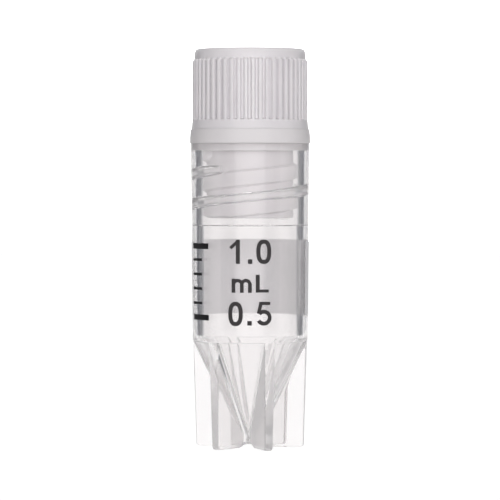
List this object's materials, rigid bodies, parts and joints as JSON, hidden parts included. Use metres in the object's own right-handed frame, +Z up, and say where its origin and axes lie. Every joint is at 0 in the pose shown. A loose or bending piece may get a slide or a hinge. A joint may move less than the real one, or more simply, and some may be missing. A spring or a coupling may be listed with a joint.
{
  "type": "cryovial",
  "caption": "Small self-standing cryogenic vial with a star foot, an internally threaded tube, a knurled screw cap and a sealing ring.",
  "frame": {"origin": "centre of the star foot, on the surface that the vial stands on", "axes": "+Z up along the tube's axis, -Y towards the printed scale, +X to the right of the scale"},
  "size_m": [0.0126, 0.0126, 0.0413],
  "materials": {
    "clear_tube": "clear injection-moulded polypropylene, glossy",
    "seal": "translucent silicone, satin",
    "cap": "milky translucent polypropylene, satin",
    "dark_ink": "screen-printed dark grey ink",
    "white_ink": "screen-printed white writing patch"
  },
  "bodies": {
    "tube": {"vial_tube": "clear_tube"},
    "seal": {"sealing_ring": "seal"},
    "cap": {"screw_cap": "cap"}
  },
  "joints": [
    {"name": "cap_lift", "type": "slide", "parent": "tube", "child": "seal", "axis": [0, 0, 1], "range_m": [0, 0.00775]},
    {"name": "cap_turn", "type": "hinge", "parent": "seal", "child": "cap", "pos_m": [0, 0, 0.0315], "axis": [0, 0, 1], "range_deg": [0, 900]}
  ],
  "couplings": [
    {"joint": "cap_turn", "follows": "cap_lift", "rad_per_m": 2026.8}
  ]
}
